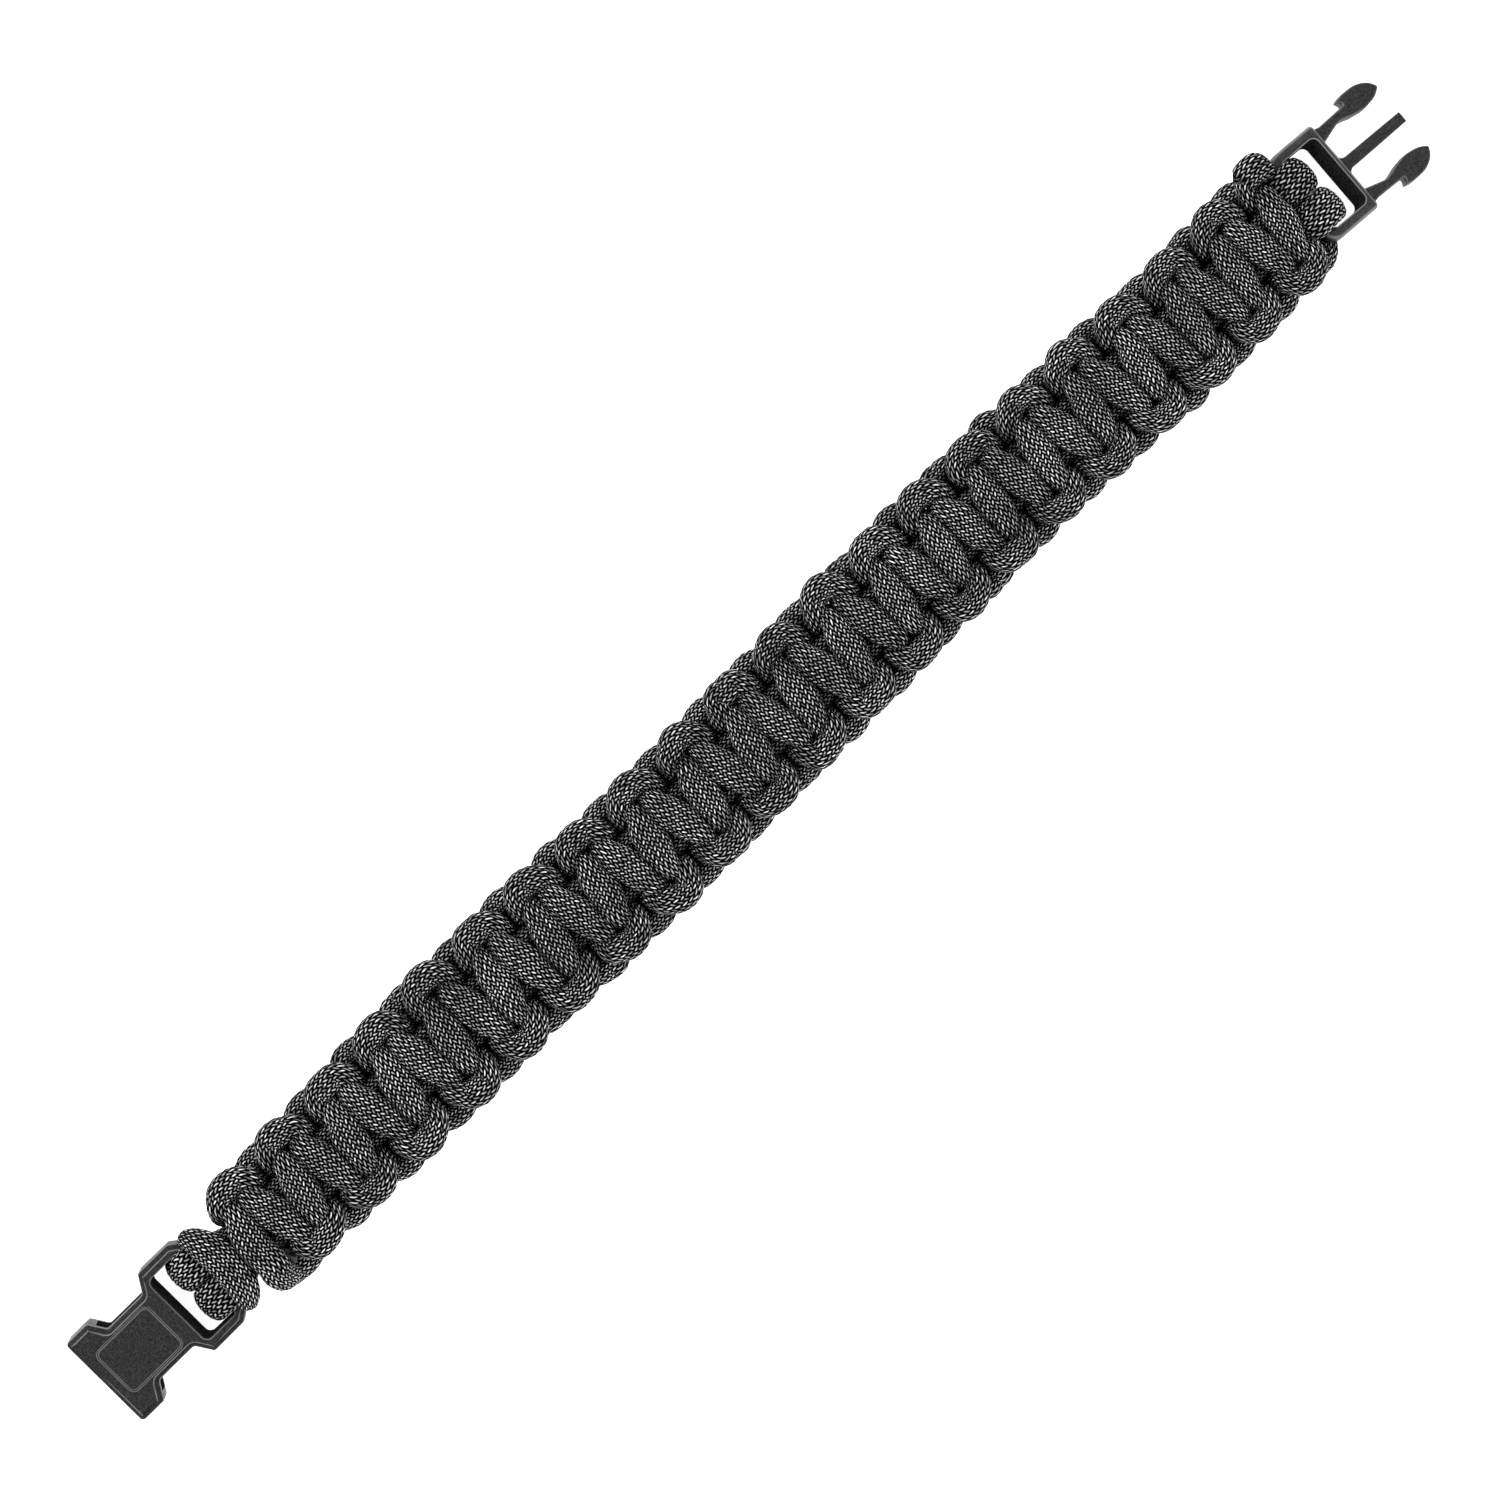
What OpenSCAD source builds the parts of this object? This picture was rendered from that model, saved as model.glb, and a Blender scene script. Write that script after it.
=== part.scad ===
// Bracelet of woven cord with a side-release buckle, lying open and straight.
// X runs along the strap from the socket to the plug, Z is up, and the weave rests on Z = 0.

/* [Cord] */
// Diameter of the round cord before it is squeezed in the weave
cord_d = 4; // [3.4:0.1:4.6]

/* [Weave] */
// Bars on the face, counted along the strap
bar_count = 43; // [21:2:55]
// Extra distance between two bars at the socket end, where the weave is looser
start_slack = 0.37; // [0:0.01:0.6]

/* [Buckle] */
// Width of the two side arms of each half
arm_w = 1.7; // [1.2:0.1:2.2]
// Diameter of the bar that holds the cord
bar_d = 2; // [1.6:0.1:2.4]
// Play between the cord loops and the arms beside them
loop_play = 0.25; // [0.2:0.05:0.5]
// Free width of the socket's slot beside the cord
socket_gap = 2.3; // [0.6:0.1:3]
// Free width of the plug's slot beside the cord
plug_gap = 2.3; // [1:0.1:4]

/* [Socket] */
// Length of the socket from its mouth to its slot
body_len = 13.7; // [12.5:0.1:17]
// Thickness of the socket
socket_t = 6.2; // [5.4:0.1:8]
// Thickness of the plates above and below the cavity
plate_t = 1.4; // [1:0.1:1.8]
// Thickness of the side walls at the mouth
mouth_wall = 1; // [0.8:0.1:1.4]
// Width of the waist
waist_w = 9.6; // [8:0.1:10.6]
// Thickness of the wall between the cavity and the slot
back_wall = 2.1; // [1.2:0.1:3]
// Depth of the groove round the panel on the face
groove_depth = 0.2; // [0.1:0.05:0.4]

/* [Plug] */
// Thickness of the plug's frame
frame_t = 4.8; // [4:0.1:5.6]
// Width of the crossbar that carries the prongs
crossbar_w = 1.3; // [1.1:0.1:2.2]
// Length of the prongs beyond the crossbar
prong_len = 10.7; // [9.5:0.1:12]
// Width of the guide between the prongs
guide_w = 1.65; // [1.2:0.05:2.4]
// Play of the prongs between the socket's plates, above and below
prong_play = 0.2; // [0.1:0.05:0.4]
// Turn of the plug on its cord, seen from above, in degrees
plug_yaw = -4; // [-5:0.5:5]

/* [Hidden] */

// The weave
tight_pitch = 1.0825 * cord_d;
first_pitch = tight_pitch + start_slack;
table_pitch = 1.14 * cord_d;
weave_mid_z = 1.22 * cord_d;
core_d = 0.83 * cord_d;
core_y = 0.43 * cord_d;
sides = 8;

// The loops round the bars
loop_t = 0.575 * cord_d;
loop_w = 1.27 * cord_d;
loop_y = 0.68 * cord_d;
bar_seat = 0.2;
loop_r = bar_d / 2 + bar_seat + loop_t / 2;
slot_w = 2 * (loop_y + loop_w / 2 + loop_play);
buckle_w = slot_w + 2 * arm_w;
plug_w = slot_w + 1.8 * arm_w;
bar_r = bar_d / 2;

// Places along the strap, from the socket's mouth
socket_bar = body_len + socket_gap + loop_t + bar_seat + bar_r;
first_bar = 1.96 * cord_d;
last_bar = 1.125 * cord_d;
weave_len = first_pitch * (bar_count - 1) - start_slack * (bar_count - 1) / 2;
plug_bar = socket_bar + first_bar + weave_len + last_bar;
frame_len = bar_r + bar_seat + loop_t + plug_gap + crossbar_w;
plug_reach = frame_len + prong_len;

// Heights, and the tilt at which each buckle half rests on the surface
socket_drop = 0.2 * cord_d;
plug_drop = 0.225 * cord_d;
socket_bar_z = weave_mid_z - socket_drop;
plug_bar_z = weave_mid_z - plug_drop;
cavity_h = socket_t - 2 * plate_t;
prong_t = cavity_h - 2 * prong_play;
rest_gap = 0.05;
mouth_half_t = 0.48 * socket_t;
socket_tilt = asin((socket_bar_z - mouth_half_t - rest_gap) / socket_bar);
plug_tilt = asin((plug_bar_z - prong_t / 2 - rest_gap) / plug_reach);
tip_y = 0.7 * buckle_w / 2;
mouth_x = socket_bar * (1 - cos(socket_tilt)) - 0.7 * mouth_half_t * sin(socket_tilt);
tip_x = plug_bar + (plug_reach * cos(plug_yaw) + tip_y * sin(abs(plug_yaw))) * cos(plug_tilt);
mid_x = (mouth_x + tip_x) / 2;

// Half of a half-knot, from a bar's shoulder to the middle of the lobe after it
// Columns: x in pitches; y, z, width and thickness in cord diameters; roll in degrees
QUARTER = [
  [-0.055, 0.875, 0.875, 1.025, 0.775, 20],
  [-0.26, 1.165, 0.15, 0.525, 0.5, 50],
  [-0.265, 1.575, -0.325, 0.525, 0.9, 15],
  [-0.2, 1.76, -0.525, 0.925, 0.825, 8],
  [0.5, 1.825, -0.56, 0.95, 0.825, 11]
];

// Ends of the working strands, from their last lobe to the loops over the plug's bar
// Columns: x, y, z, width and thickness in cord diameters from the bar; tilt and roll in degrees
FRONT_TAIL = [
  [-0.9, -1.87, -0.6, 0.85, 0.65, 0, 180],
  [-0.5, -1.7, -0.78, 0.75, 0.5, 0, 180],
  [-0.25, -1.3, -0.85, 0.75, 0.475, 0, 180]
];
BACK_TAIL = [
  [-0.9, 1.92, 0.6, 0.9, 0.75, 0, 180],
  [-0.45, 1.8, 0.42, 0.75, 0.5, -45, 180],
  [-0.34, 1.68, -0.05, 0.75, 0.425, -90, 180],
  [-0.36, 1.6, -0.6, 0.7, 0.425, -80, 180],
  [-0.25, 1.25, -0.87, 0.75, 0.45, -20, 180]
];

// Core strand from the weave to the socket's bar, under the hitch's band
// Columns: x, y, z, width and thickness in cord diameters from the bar; tilt and roll in degrees
HITCH_IN = [
  [1.35, 0.43, -0.02, 0.84, 0.8, 0, 0],
  [0.875, 0.55, -0.06, 1.05, 0.6, 15, 0]
];

// From the socket's bar, under and out to the side, and up into the band over the core strands
HITCH_OUT = [
  [0.325, 0.95, -0.83, 1.1, 0.55, 0, 180],
  [0.77, 1.3, -0.68, 1, 0.525, 0, 140],
  [0.82, 1.44, -0.12, 1, 0.55, 0, 90],
  [0.845, 1.27, 0.45, 0.98, 0.55, 15, 45],
  [0.87, 0.9, 0.72, 0.98, 0.575, 22, 10],
  [0.87, 0, 0.75, 0.98, 0.575, 25, 0]
];

// Angles of the rings of cord round a bar, from the top over the outer side to the bottom
WRAP = [120, 85, 50, 15, -20, -55, -90];

// Rows of the cord's route, each x, y, z, width, thickness, tilt, roll in millimetres and degrees
function pitch_at(u) = first_pitch - start_slack * u / (bar_count - 1);
function along(u) = socket_bar + first_bar + first_pitch * u - start_slack * u * u / (2 * (bar_count - 1));
function bar_side(bar) = bar % 2 == 0 ? -1 : 1;
function lobe_row(q, bar, way) =
  let (u = bar + way * q[0], hand = way * bar_side(bar), narrow = pitch_at(u) / table_pitch)
  [along(u), hand * q[1] * cord_d, q[2] * cord_d, q[3] * cord_d * narrow, q[4] * cord_d, 0, 180 + hand * q[5]];
function half_knot(bar, from, to) = concat(
  [for (i = [from:-1:0]) lobe_row(QUARTER[i], bar, -1)],
  [for (i = [0:to]) lobe_row(QUARTER[i], bar, 1)]);
function strand(stub) = [for (bar = [0:bar_count - 1])
  each half_knot(bar, bar == 0 ? stub : 3, bar == bar_count - 1 ? 3 : 4)];
function turned(row) = [row[0], -row[1], -row[2], row[3], row[4], row[5], row[6]];
function mirrored(row) = [row[0], -row[1], row[2], row[3], row[4], row[5], -row[6]];
function backwards(rows) = [for (i = [len(rows) - 1:-1:0]) rows[i]];
function from_bar(table, bar_x) = [for (q = table)
  [bar_x + q[0] * cord_d, q[1] * cord_d, q[2] * cord_d, q[3] * cord_d, q[4] * cord_d, q[5], q[6]]];
function wrap(bar_x, bar_z, out) = [for (a = WRAP)
  [bar_x + out * loop_r * cos(a), loop_y, bar_z + loop_r * sin(a), loop_w, loop_t, out * (90 - a), 0]];
function loop_x(hand) = plug_bar - hand * loop_y * sin(plug_yaw);
function core_row(x, squeeze = 1) = [x, core_y, 0, squeeze * core_d, squeeze * core_d, 0, 0];

function half_core(hand) = concat(
  backwards(wrap(loop_x(hand), -plug_drop, 1)),
  [core_row(plug_bar - 0.58 * cord_d, 0.85), core_row(plug_bar - last_bar - tight_pitch)],
  [core_row(socket_bar + first_bar)],
  from_bar(HITCH_IN, socket_bar),
  wrap(socket_bar, -socket_drop, -1),
  from_bar(HITCH_OUT, socket_bar));
left_core = [for (row = backwards(half_core(-1))) mirrored(row)];
core_rows = concat(half_core(1), [for (i = [1:len(left_core) - 1]) left_core[i]]);
back_rows = concat([for (row = strand(2)) turned(row)], from_bar(BACK_TAIL, plug_bar));
front_rows = concat(strand(3), from_bar(FRONT_TAIL, plug_bar));
cord_rows = concat(back_rows, core_rows, backwards(front_rows));
back_end = len(back_rows);
core_end = back_end + len(core_rows) - 1;

// A closed tube through the rows from one place of the cord to another
function unit(v) = v / norm(v);
function place(row) = [row[0], row[1], row[2]];
function heading(i) =
  let (before = max(i - 1, 0), after = min(i + 1, len(cord_rows) - 1),
       a = i > before ? unit(place(cord_rows[i]) - place(cord_rows[before])) : [0, 0, 0],
       b = after > i ? unit(place(cord_rows[after]) - place(cord_rows[i])) : [0, 0, 0])
  unit(a + b);
function ring(i) =
  let (row = cord_rows[i], ahead = heading(i),
       up = [sin(row[5]), sin(row[6]) * cos(row[5]), cos(row[6]) * cos(row[5])],
       across = unit(cross(ahead, up)), outward = cross(across, ahead),
       flat = 1 / cos(180 / sides))
  [for (s = [0:sides - 1]) let (a = (s + 0.5) * 360 / sides)
    place(row) + flat * row[3] / 2 * cos(a) * across + flat * row[4] / 2 * sin(a) * outward];
module tube(from, to) {
  count = to - from + 1;
  points = [for (i = [from:to]) each ring(i)];
  walls = [for (i = [0:count - 2], s = [0:sides - 1])
    let (a = i * sides + s, b = i * sides + (s + 1) % sides)
    each [[a, b + sides, b], [a, a + sides, b + sides]]];
  near_cap = [for (s = [1:sides - 2]) [0, s, s + 1]];
  last = (count - 1) * sides;
  far_cap = [for (s = [1:sides - 2]) [last, last + s + 1, last + s]];
  translate([-mid_x, 0, weave_mid_z])
    polyhedron(points, concat(walls, near_cap, far_cap));
}

module core_cord() {
  color("#2a2b2d") tube(back_end, core_end);
}

module front_strand() {
  color("#333538") tube(core_end, len(cord_rows) - 1);
}

module back_strand() {
  color("#2e3033") tube(0, back_end);
}

// Outline points whose corners are rounded; columns: x, y, corner radius
corner_steps = 5;
function corner(a, p, b, r) =
  let (u = unit([a[0] - p[0], a[1] - p[1]]), v = unit([b[0] - p[0], b[1] - p[1]]),
       half = acos(max(-1, min(1, u * v))) / 2,
       centre = [p[0], p[1]] + unit(u + v) * r / sin(half),
       start = [p[0], p[1]] + u * r / tan(half) - centre,
       end = [p[0], p[1]] + v * r / tan(half) - centre)
  [for (i = [0:corner_steps]) centre + r * unit(start + (end - start) * i / corner_steps)];
function rounded(rows) = [for (i = [0:len(rows) - 1])
  let (n = len(rows), p = rows[i])
  each p[2] > 0 ? corner(rows[(i + n - 1) % n], p, rows[(i + 1) % n], p[2]) : [[p[0], p[1]]]];
function both_sides(rows) = concat(rows, [for (i = [len(rows) - 1:-1:0]) [rows[i][0], -rows[i][1], rows[i][2]]]);

// Side of the socket's outline from the mouth to the bar
// Columns: x as a share of the length, half width and corner radius as shares of the widest, x and y way inwards
waist = waist_w / buckle_w;
SOCKET_SIDE = [
  [0, 1, 0.085, 1, 1],
  [0.195, 1, 0.07, -0.6, 1],
  [0.268, waist, 0.085, -0.5, 1],
  [0.58, waist, 0.085, 0.5, 1],
  [0.655, 1, 0.07, 0.6, 1],
  [0.912, 1, 0.115, -0.5, 1],
  [1, 0.84, 0.085, -1, 1]
];
// Stacked layers that round the socket's edges: distance inwards and height left off, as shares of its thickness
EDGE_LAYERS = [[0, 0.16], [0.05, 0.07], [0.13, 0]];

function socket_outline(inwards) = both_sides([for (q = SOCKET_SIDE)
  [q[0] * socket_len + inwards * q[3], q[1] * buckle_w / 2 - inwards * q[4], q[2] * buckle_w / 2]]);
socket_len = socket_bar + bar_r;
cavity_len = body_len - back_wall;

module panel_plate(w, l, r) {
  polygon(rounded([[-l / 2, -w / 2, r], [l / 2, -w / 2, r], [l / 2, w / 2, r], [-l / 2, w / 2, r]]));
}

module socket_blank() {
  intersection() {
    union() {
      for (layer = EDGE_LAYERS) {
        translate([0, 0, -socket_t * (0.5 - layer[1])])
          linear_extrude(socket_t * (1 - 2 * layer[1]))
            polygon(rounded(socket_outline(layer[0] * socket_t)));
      }
    }
    rotate([90, 0, 0])
      linear_extrude(2 * buckle_w, center = true)
        polygon(rounded(both_sides([
          [0, mouth_half_t, 0.5],
          [body_len * 0.35, socket_t / 2, 4],
          [body_len * 0.95, socket_t / 2, 3],
          [socket_len, socket_t * 0.24, 1]
        ])));
  }
}

module buckle_socket() {
  color("#1c1c1e")
    translate([socket_bar - mid_x, 0, socket_bar_z])
      rotate([0, -socket_tilt, 0])
        translate([-socket_bar, 0, 0]) {
          difference() {
            socket_blank();
            translate([-1, -buckle_w / 2 + mouth_wall, -cavity_h / 2])
              cube([cavity_len + 1, buckle_w - 2 * mouth_wall, cavity_h]);
            translate([(body_len + socket_len + 1) / 2, 0, -socket_t])
              linear_extrude(2 * socket_t)
                panel_plate(slot_w, socket_len + 1 - body_len, 0.7);
            translate([body_len * 0.49, 0, socket_t / 2 - groove_depth])
              linear_extrude(socket_t)
                difference() {
                  panel_plate(waist_w * 0.78, body_len * 0.7, 1);
                  panel_plate(waist_w * 0.78 - 0.5, body_len * 0.7 - 0.5, 0.75);
                }
          }
          translate([socket_bar, 0, 0])
            rotate([90, 0, 0])
              cylinder(h = slot_w + 0.4, d = bar_d, center = true, $fn = 24);
        }
}

// Outline of the prong on the +Y side
// Columns: x and corner radius as shares of the prong's length, y as a share of the socket's half width
PRONG = [
  [-0.05, 0.53, 0],
  [0, 0.55, 0],
  [0.32, 0.69, 0.25],
  [0.5, 0.6, 0.2],
  [0.68, 0.555, 0.25],
  [0.88, 0.6, 0.15],
  [0.99, 0.715, 0.04],
  [0.93, 0.9, 0.1],
  [0.76, 1.03, 0.2],
  [0.55, 1.035, 0.1],
  [0.463, 1, 0.01],
  [0.5, 0.86, 0.02],
  [0.08, 0.845, 0.05],
  [0, 0.86, 0],
  [-0.05, 0.87, 0]
];

module prong() {
  translate([frame_len, 0, -prong_t / 2])
    linear_extrude(prong_t)
      polygon(rounded([for (q = PRONG) [q[0] * prong_len, q[1] * buckle_w / 2, q[2] * prong_len]]));
}

module plug_frame() {
  half = plug_w / 2;
  difference() {
    intersection() {
      translate([0, 0, -frame_t / 2])
        linear_extrude(frame_t)
          polygon(rounded(both_sides([[-bar_r, half, 2.2], [frame_len, half, 0.8]])));
      rotate([90, 0, 0])
        linear_extrude(2 * buckle_w, center = true)
          polygon(rounded(both_sides([
            [-bar_r, frame_t * 0.26, 0.7],
            [frame_len * 0.6, frame_t / 2, 3],
            [frame_len, frame_t * 0.49, 0.5]
          ])));
    }
    translate([(frame_len - crossbar_w - bar_r - 1) / 2, 0, -frame_t])
      linear_extrude(2 * frame_t)
        panel_plate(slot_w, frame_len - crossbar_w + bar_r + 1, 0.7);
  }
}

module buckle_plug() {
  guide_root = 0.45;
  color("#1c1c1e")
    translate([plug_bar - mid_x, 0, plug_bar_z])
      rotate([0, plug_tilt, plug_yaw]) {
        plug_frame();
        rotate([90, 0, 0])
          cylinder(h = slot_w + 0.4, d = bar_d, center = true, $fn = 24);
        prong();
        mirror([0, 1, 0]) prong();
        translate([frame_len, 0, -prong_t * 0.45])
          linear_extrude(prong_t * 0.9)
            polygon(rounded(both_sides([
              [-0.4, guide_w / 2 + guide_root, 0],
              [0, guide_w / 2 + guide_root, 0],
              [guide_root, guide_w / 2, 0.4],
              [prong_len * 0.98, guide_w / 2, 0.15]
            ])));
      }
}

buckle_socket();
buckle_plug();
core_cord();
front_strand();
back_strand();
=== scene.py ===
import math

import bmesh
import bpy
import numpy as np
from mathutils import Matrix, Vector
from mathutils.bvhtree import BVHTree
from mathutils.geometry import tessellate_polygon


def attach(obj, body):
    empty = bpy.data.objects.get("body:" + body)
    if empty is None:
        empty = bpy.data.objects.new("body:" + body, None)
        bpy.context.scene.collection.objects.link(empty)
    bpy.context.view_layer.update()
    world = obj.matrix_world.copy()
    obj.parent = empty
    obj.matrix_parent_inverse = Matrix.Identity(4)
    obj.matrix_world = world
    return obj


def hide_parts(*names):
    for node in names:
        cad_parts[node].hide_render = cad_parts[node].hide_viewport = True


# Every size below is in millimetres, in the frame of the CAD model, until MM turns it into metres
MM = 0.001
# The cords lie on the floor and not in it
FLOOR_GAP = 0.03

# The cord before it is squeezed, and the weave: its bars on the face, the pitch of the first two, how much
# less it is at the last two, the pitch that the tables' widths are meant for, and its middle's height
CORD_D = 4.0
BARS = 43
FIRST_PITCH = 4.70
SLACK = 0.37
TABLE_PITCH = 1.14 * CORD_D
MID_Z = 1.22 * CORD_D

# The x of the weave's first and last bar, and x and z of the round bars in the buckle's halves
SOCKET_BAR = (-100.1625, MID_Z - 0.2 * CORD_D)
FIRST_BAR_X = SOCKET_BAR[0] + 1.96 * CORD_D
LAST_BAR_X = FIRST_BAR_X + (BARS - 1) * (FIRST_PITCH - SLACK / 2)
PLUG_BAR = (LAST_BAR_X + 1.125 * CORD_D, MID_Z - 0.225 * CORD_D)
# Their radius, the space round them, and how far off the strap's middle each core strand goes round them
BAR_R = 1.0
BAR_GAP = 0.1
LOOP_Y = 2.67

# Half of a half-knot, from the middle of a bar to the middle of the lobe after it:
# x in pitches, then y, z, width and thickness in mm, and the lean of the section in degrees
QUARTER = [
    (0.0, 0.0, 3.27, 4.62, 3.1, 0),
    (-0.085, 1.9, 3.20, 4.1, 3.25, 4),
    (-0.160, 3.5, 2.85, 3.3, 3.3, 20),
    (-0.205, 4.5, 1.65, 2.9, 3.0, 50),
    (-0.170, 4.95, 0.15, 3.2, 3.3, 78),
    (-0.095, 5.42, -1.15, 3.4, 3.45, 48),
    (-0.010, 6.30, -1.95, 3.3, 3.4, 16),
    (0.200, 7.25, -2.22, 3.8, 3.5, 10),
    (0.5, 7.50, -2.28, 4.0, 3.5, 10),
]
# The same for the front strand's first bar, where the cord goes round the outside of the weave
FIRST_QUARTER = [
    (0.0, 0.0, 3.27, 4.4, 3.1, 0),
    (-0.03, 1.9, 3.25, 4.3, 3.1, 4),
    (-0.06, 4.2, 3.05, 4.2, 3.1, 14),
    (-0.10, 6.2, 1.95, 4.1, 3.2, 42),
    (-0.10, 7.30, 0.10, 3.9, 3.2, 75),
    (0.02, 7.20, -1.75, 3.7, 3.3, 40),
    (0.22, 7.30, -2.22, 3.8, 3.5, 12),
    (0.5, 7.50, -2.28, 4.0, 3.5, 10),
]
# Rows of QUARTER before the first bar, where the front and the back strand start with a sealed end
FRONT_START_ROWS = 6
BACK_START_ROWS = 5

# The knots' unevenness: along the strap, across it in the lobes (farther out than LOBE_FROM), and elsewhere
UNEVEN_ALONG = 0.08
UNEVEN_LOBE = 0.16
UNEVEN = 0.05
LOBE_FROM = 6
SEED = 7
# The lobes of the first knots are narrower by this share, which fades over so many knots
FIRST_NARROWER = 0.10
FADE_KNOTS = 3

# How the strap lies: x, how far it is off its straight line and how much wider it is there
LIE = [(-104, 0, 0), (-95, -0.4, 0.4), (-85, -0.3, -0.3), (-62, 0.3, 0.2), (-41, 0.3, 0.4), (-24, -0.2, 0.1),
       (-4, -0.2, -0.2), (22, 0.3, -0.1), (50, 0.6, -0.6), (59, 0.3, -0.6), (68, 0, -0.2), (77, -0.6, -0.2),
       (86, -0.5, -0.3), (95, -0.3, -0.6), (101, 0, 0)]
STRAP_WIDTH = 18.6

# The sheath: COLUMNS columns of stitches round the cord, counted from FIRST_COLUMN, one row of them every
# ROW mm, drawn with VERTS vertices round the cord and RINGS rings for each row
COLUMNS = 28
ROW = 0.75
VERTS = 42
RINGS = 3
FIRST_COLUMN = 0.583
# How far a stitch stands out, how uneven that is, and the power that makes the cord's oval a little squarish
RELIEF = 0.055
UNEVEN_RELIEF = 0.008
SQUARISH = 2.15
# A braid of two over and two under repeats after four columns
REPEAT = 4
# How fast the height of a stitch falls off along its yarn and across it
FALL_ALONG = 0.65
FALL_ACROSS = 0.75

# The search for sky round each vertex: rays, their length, and how far off the cord they start
SKY_RAYS = 12
SKY_REACH = 1.8
SKY_START = 0.12
GOLDEN_ANGLE = 2.39996

# Both halves of the buckle: half the width of their slots, the width of the arms beside them,
# and how far the round bars go into the arms
SLOT_HALF = 5.51
ARM_W = 1.7
BAR_ROOT = 0.4

# The socket, with x from its mouth
SOCKET_T = 6.2
SOCKET_HALF = SLOT_HALF + ARM_W
SOCKET_BAR_AT = 19.5
SOCKET_LEN = SOCKET_BAR_AT + BAR_R
BODY_LEN = 13.7
WAIST_HALF = 4.8
PANEL_FROM = 1.9
PANEL_TO = 11.5
PANEL_HALF = 3.74
# The groove round the panel, from outside: inset, z from the face, and edge as Moulding says
PANEL_GROOVE = [(-0.08, 0, 0), (0, 0, 0.9), (0.05, -0.04, 0.5), (0.09, -0.1, 0), (0.15, -0.1, 0),
                (0.19, -0.04, 0.6), (0.24, 0, 1.0), (0.33, 0, 0)]
# The socket's walls: between cavity and slot, beside the mouth, above and below the cavity, behind the slot
BACK_WALL = 2.1
MOUTH_WALL = 1.0
PLATE_T = 1.4
END_WALL = 1.7
CAVITY_T = SOCKET_T - 2 * PLATE_T
# How the socket hangs on the cord: degrees about y and x, and mm to the side
SOCKET_TILT = -1.7
SOCKET_ROLL = 4.5
SOCKET_Y = -0.22

# The plug, with x from its round bar: the frame and its crossbar
FRAME_T = 4.8
FRAME_LEN = 7.1
FRAME_SLOT_FROM = 0.7
PLUG_HALF = SLOT_HALF + 0.9 * ARM_W
CROSSBAR = 0.85
CROSSBAR_DRAFT = 0.6
# The prongs, with so much play in the cavity, and the guide between them
PRONG_LEN = 10.7
PRONG_PLAY = 0.4
PRONG_T = CAVITY_T - PRONG_PLAY
GUIDE_T = 0.9 * PRONG_T
GUIDE_HALF = 0.88
GUIDE_TIP_HALF = 0.8
GUIDE_ROOT_HALF = 2.0
# How the plug hangs on the cord, in degrees about y and z: the prongs' tips come down to PRONG_REST
PRONG_REST = 0.05
PLUG_TILT = math.degrees(math.asin((PLUG_BAR[1] - PRONG_T / 2 - PRONG_REST) / (FRAME_LEN + PRONG_LEN)))
PLUG_YAW = -4.0

# Outline of the prong on the +Y side: x from the crossbar as a share of the prong's length,
# y as a share of the socket's half width, and the corner's radius as a share of the length
PRONG = [(-0.05, 0.53, 0), (0, 0.55, 0.02), (0.32, 0.69, 0.25), (0.5, 0.6, 0.2), (0.68, 0.555, 0.25),
         (0.88, 0.6, 0.3), (0.99, 0.715, 0.03), (0.93, 0.9, 0.26), (0.76, 1.03, 0.38), (0.55, 1.035, 0.1),
         (0.463, 1.0, 0.01), (0.5, 0.86, 0.02), (0.08, 0.845, 0.05), (0, 0.87, 0.01), (-0.05, 0.88, 0)]

# The camera looks straight down from CAMERA_HEIGHT over the weave and sees FRAME_WIDTH; the strap lies
# at STRAP_ANGLE in the picture, and FRAME_SHIFT moves the camera to the picture's right and up
CAMERA_HEIGHT = 650.0
FRAME_WIDTH = 197.4
SENSOR_WIDTH = 36
STRAP_ANGLE = 44.5
FRAME_SHIFT = (-0.19, -0.90)
# The studio's brightness where the view's direction has a z up to WALL_TOP, and from CEILING_FROM on
WALL_LIGHT = 1.28
CEILING_LIGHT = 0.78
WALL_TOP = 0.6
CEILING_FROM = 0.92


# Routes of the cords
def pitch_at(u):
    """The pitch u bars after the first."""
    return FIRST_PITCH - SLACK * u / (BARS - 1)


def along(u):
    """The x of the place u bars after the first."""
    return FIRST_BAR_X + FIRST_PITCH * u - SLACK * u * u / (2 * (BARS - 1))


def lean(angle, side):
    """The direction of a section's thickness, leaning to one side by so many degrees."""
    a = math.radians(angle)
    return (0.0, side * math.sin(a), math.cos(a))


def tip(tilt, roll):
    """The direction of a section's thickness, tilted along the strap and rolled about it, in degrees."""
    t, r = math.radians(tilt), math.radians(roll)
    return (math.sin(t), math.sin(r) * math.cos(t), math.cos(r) * math.cos(t))


def knot_row(row, bar, way, rng):
    """A row of a knot's table, after its bar (way 1) or before it (way -1).

    It says x, y and z from the weave's middle, width, thickness, and the direction of the thickness.
    """
    step, y, z, width, thick, angle = row
    u = bar + way * step
    hand = way * (-1 if bar % 2 == 0 else 1)
    share = pitch_at(u) / TABLE_PITCH
    narrow = 1 - FIRST_NARROWER * math.exp(-max(u, 0) / FADE_KNOTS)
    outer = y > LOBE_FROM
    y = hand * y * (narrow if outer else 1) + rng.normal(0, UNEVEN_LOBE if outer else UNEVEN)
    z = z + rng.normal(0, UNEVEN)
    x = along(u) + rng.normal(0, UNEVEN_ALONG)
    return (x, y, z, width * share, thick, *lean(angle, hand))


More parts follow.
